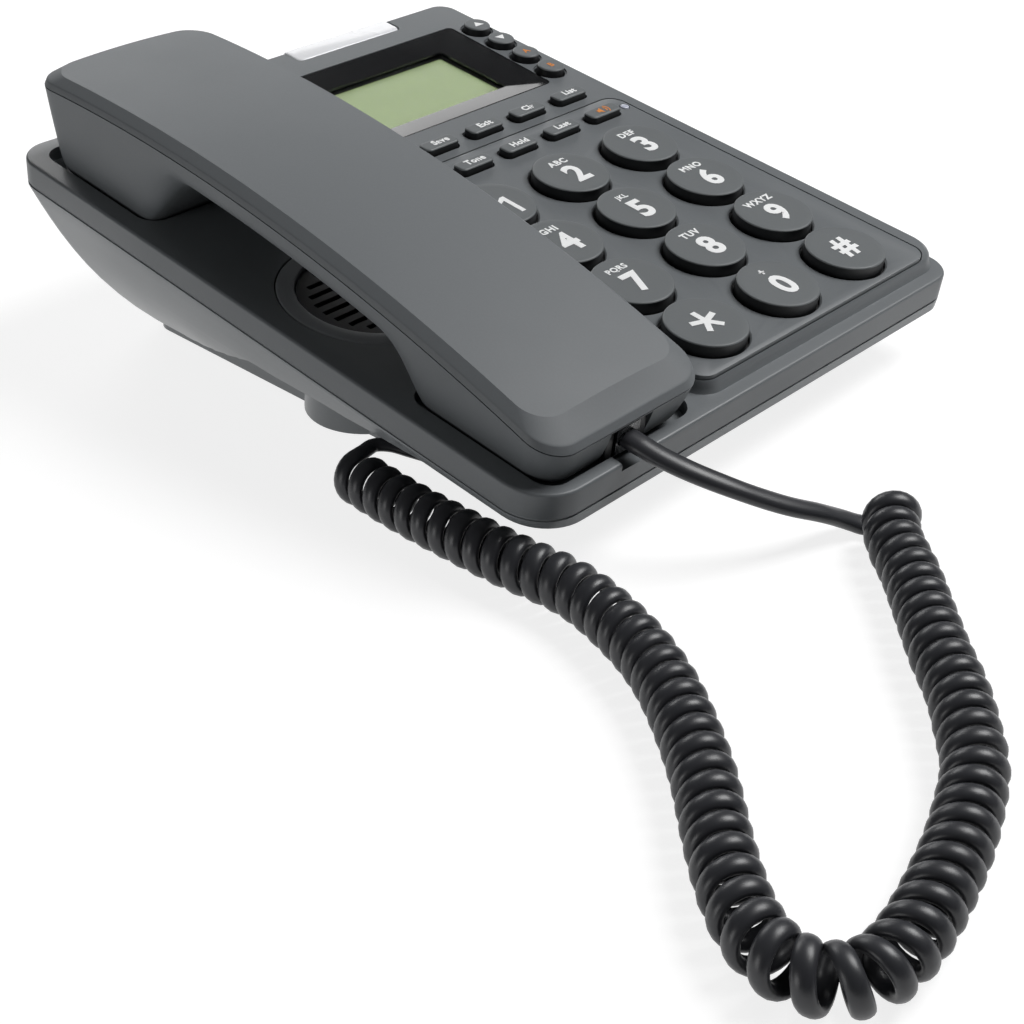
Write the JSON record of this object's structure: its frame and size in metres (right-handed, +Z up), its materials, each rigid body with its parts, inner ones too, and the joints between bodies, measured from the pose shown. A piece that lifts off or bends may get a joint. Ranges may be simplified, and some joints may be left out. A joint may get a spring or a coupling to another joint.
{
  "type": "corded desk telephone",
  "caption": "Corded desk telephone with a sloping base, caller display, large round dial keys, side handset and curly cord.",
  "frame": {"origin": "centre of the base's footprint box on the desk, under the feet", "axes": "+X to the user's right, +Y toward the display end, +Z up"},
  "size_m": [0.2153, 0.3122, 0.0736],
  "materials": {
    "grey_abs": "satin moulded ABS",
    "lower_abs": "satin moulded ABS",
    "panel_abs": "satin moulded ABS",
    "key_cap": "satin key caps",
    "dark_abs": "near black moulded ABS",
    "window": "smoked acrylic",
    "lcd": "LCD glass",
    "milky_lens": "milky lens",
    "red_lens": "red lens",
    "board": "coated board",
    "steel": "pressed steel",
    "rubber": "soft rubber",
    "cord": "PVC jacket",
    "clear": "clear polycarbonate"
  },
  "bodies": {
    "base": {"base_bottom_shell": "lower_abs", "base_plug": "clear", "base_top_shell": "grey_abs", "circuit_board": "board", "cord_jack": "dark_abs", "cord_lead": "cord", "cord_tail": "cord", "curly_cord": "cord", "display_bezel": "dark_abs", "display_module": "lcd", "display_window": "window", "foot_back_left": "rubber", "foot_back_right": "rubber", "foot_front_left": "rubber", "foot_front_right": "rubber", "keypad_panel": "panel_abs", "line_jack": "dark_abs", "loudspeaker": "steel", "ring_lamp": "milky_lens", "speaker_cover": "dark_abs", "speaker_ring": "dark_abs", "status_lens": "red_lens"},
    "handset": {"handset_cover": "grey_abs", "handset_shell": "grey_abs", "handset_jack": "dark_abs", "handset_plug": "clear", "ear_cap": "dark_abs", "mic_cap": "dark_abs", "receiver": "steel"},
    "hook": {"hook_plunger": "dark_abs"},
    "door": {"battery_door": "lower_abs"},
    "key_0_body": {"key_0": "key_cap"},
    "key_1_body": {"key_1": "key_cap"},
    "key_2_body": {"key_2": "key_cap"},
    "key_3_body": {"key_3": "key_cap"},
    "key_4_body": {"key_4": "key_cap"},
    "key_5_body": {"key_5": "key_cap"},
    "key_6_body": {"key_6": "key_cap"},
    "key_7_body": {"key_7": "key_cap"},
    "key_8_body": {"key_8": "key_cap"},
    "key_9_body": {"key_9": "key_cap"},
    "key_back_body": {"key_back": "key_cap"},
    "key_delete_body": {"key_delete": "key_cap"},
    "key_down_body": {"key_down": "key_cap"},
    "key_flash_body": {"key_flash": "key_cap"},
    "key_hash_body": {"key_hash": "key_cap"},
    "key_memory_1_body": {"key_memory_1": "key_cap"},
    "key_memory_2_body": {"key_memory_2": "key_cap"},
    "key_menu_body": {"key_menu": "key_cap"},
    "key_redial_body": {"key_redial": "key_cap"},
    "key_speaker_body": {"key_speaker": "key_cap"},
    "key_star_body": {"key_star": "key_cap"},
    "key_store_body": {"key_store": "key_cap"},
    "key_up_body": {"key_up": "key_cap"},
    "key_volume_body": {"key_volume": "key_cap"}
  },
  "joints": [
    {"name": "handset_lift", "type": "slide", "parent": "base", "child": "handset", "axis": [0, -0.1426, 0.9898], "range_m": [0, 0.15], "deforming": ["cord_lead"]},
    {"name": "hook_rise", "type": "slide", "parent": "base", "child": "hook", "axis": [0, -0.1426, 0.9898], "range_m": [0, 0.004]},
    {"name": "battery_door_slide", "type": "slide", "parent": "base", "child": "door", "axis": [0, 1, 0], "range_m": [0, 0.004]},
    {"name": "key_0_press", "type": "slide", "parent": "base", "child": "key_0_body", "axis": [0, 0.1426, -0.9898], "range_m": [0, 0.0015], "stiffness_N_per_m": 400},
    {"name": "key_1_press", "type": "slide", "parent": "base", "child": "key_1_body", "axis": [0, 0.1426, -0.9898], "range_m": [0, 0.0015], "stiffness_N_per_m": 400},
    {"name": "key_2_press", "type": "slide", "parent": "base", "child": "key_2_body", "axis": [0, 0.1426, -0.9898], "range_m": [0, 0.0015], "stiffness_N_per_m": 400},
    {"name": "key_3_press", "type": "slide", "parent": "base", "child": "key_3_body", "axis": [0, 0.1426, -0.9898], "range_m": [0, 0.0015], "stiffness_N_per_m": 400},
    {"name": "key_4_press", "type": "slide", "parent": "base", "child": "key_4_body", "axis": [0, 0.1426, -0.9898], "range_m": [0, 0.0015], "stiffness_N_per_m": 400},
    {"name": "key_5_press", "type": "slide", "parent": "base", "child": "key_5_body", "axis": [0, 0.1426, -0.9898], "range_m": [0, 0.0015], "stiffness_N_per_m": 400},
    {"name": "key_6_press", "type": "slide", "parent": "base", "child": "key_6_body", "axis": [0, 0.1426, -0.9898], "range_m": [0, 0.0015], "stiffness_N_per_m": 400},
    {"name": "key_7_press", "type": "slide", "parent": "base", "child": "key_7_body", "axis": [0, 0.1426, -0.9898], "range_m": [0, 0.0015], "stiffness_N_per_m": 400},
    {"name": "key_8_press", "type": "slide", "parent": "base", "child": "key_8_body", "axis": [0, 0.1426, -0.9898], "range_m": [0, 0.0015], "stiffness_N_per_m": 400},
    {"name": "key_9_press", "type": "slide", "parent": "base", "child": "key_9_body", "axis": [0, 0.1426, -0.9898], "range_m": [0, 0.0015], "stiffness_N_per_m": 400},
    {"name": "key_back_press", "type": "slide", "parent": "base", "child": "key_back_body", "axis": [0, 0.1426, -0.9898], "range_m": [0, 0.0015], "stiffness_N_per_m": 400},
    {"name": "key_delete_press", "type": "slide", "parent": "base", "child": "key_delete_body", "axis": [0, 0.1426, -0.9898], "range_m": [0, 0.0015], "stiffness_N_per_m": 400},
    {"name": "key_down_press", "type": "slide", "parent": "base", "child": "key_down_body", "axis": [0, 0.1426, -0.9898], "range_m": [0, 0.0015], "stiffness_N_per_m": 400},
    {"name": "key_flash_press", "type": "slide", "parent": "base", "child": "key_flash_body", "axis": [0, 0.1426, -0.9898], "range_m": [0, 0.0015], "stiffness_N_per_m": 400},
    {"name": "key_hash_press", "type": "slide", "parent": "base", "child": "key_hash_body", "axis": [0, 0.1426, -0.9898], "range_m": [0, 0.0015], "stiffness_N_per_m": 400},
    {"name": "key_memory_1_press", "type": "slide", "parent": "base", "child": "key_memory_1_body", "axis": [0, 0.1426, -0.9898], "range_m": [0, 0.0015], "stiffness_N_per_m": 400},
    {"name": "key_memory_2_press", "type": "slide", "parent": "base", "child": "key_memory_2_body", "axis": [0, 0.1426, -0.9898], "range_m": [0, 0.0015], "stiffness_N_per_m": 400},
    {"name": "key_menu_press", "type": "slide", "parent": "base", "child": "key_menu_body", "axis": [0, 0.1426, -0.9898], "range_m": [0, 0.0015], "stiffness_N_per_m": 400},
    {"name": "key_redial_press", "type": "slide", "parent": "base", "child": "key_redial_body", "axis": [0, 0.1426, -0.9898], "range_m": [0, 0.0015], "stiffness_N_per_m": 400},
    {"name": "key_speaker_press", "type": "slide", "parent": "base", "child": "key_speaker_body", "axis": [0, 0.1426, -0.9898], "range_m": [0, 0.0015], "stiffness_N_per_m": 400},
    {"name": "key_star_press", "type": "slide", "parent": "base", "child": "key_star_body", "axis": [0, 0.1426, -0.9898], "range_m": [0, 0.0015], "stiffness_N_per_m": 400},
    {"name": "key_store_press", "type": "slide", "parent": "base", "child": "key_store_body", "axis": [0, 0.1426, -0.9898], "range_m": [0, 0.0015], "stiffness_N_per_m": 400},
    {"name": "key_up_press", "type": "slide", "parent": "base", "child": "key_up_body", "axis": [0, 0.1426, -0.9898], "range_m": [0, 0.0015], "stiffness_N_per_m": 400},
    {"name": "key_volume_press", "type": "slide", "parent": "base", "child": "key_volume_body", "axis": [0, 0.1426, -0.9898], "range_m": [0, 0.0015], "stiffness_N_per_m": 400}
  ],
  "couplings": [
    {"joint": "hook_rise", "follows": "handset_lift", "ratio": 0.0266}
  ]
}
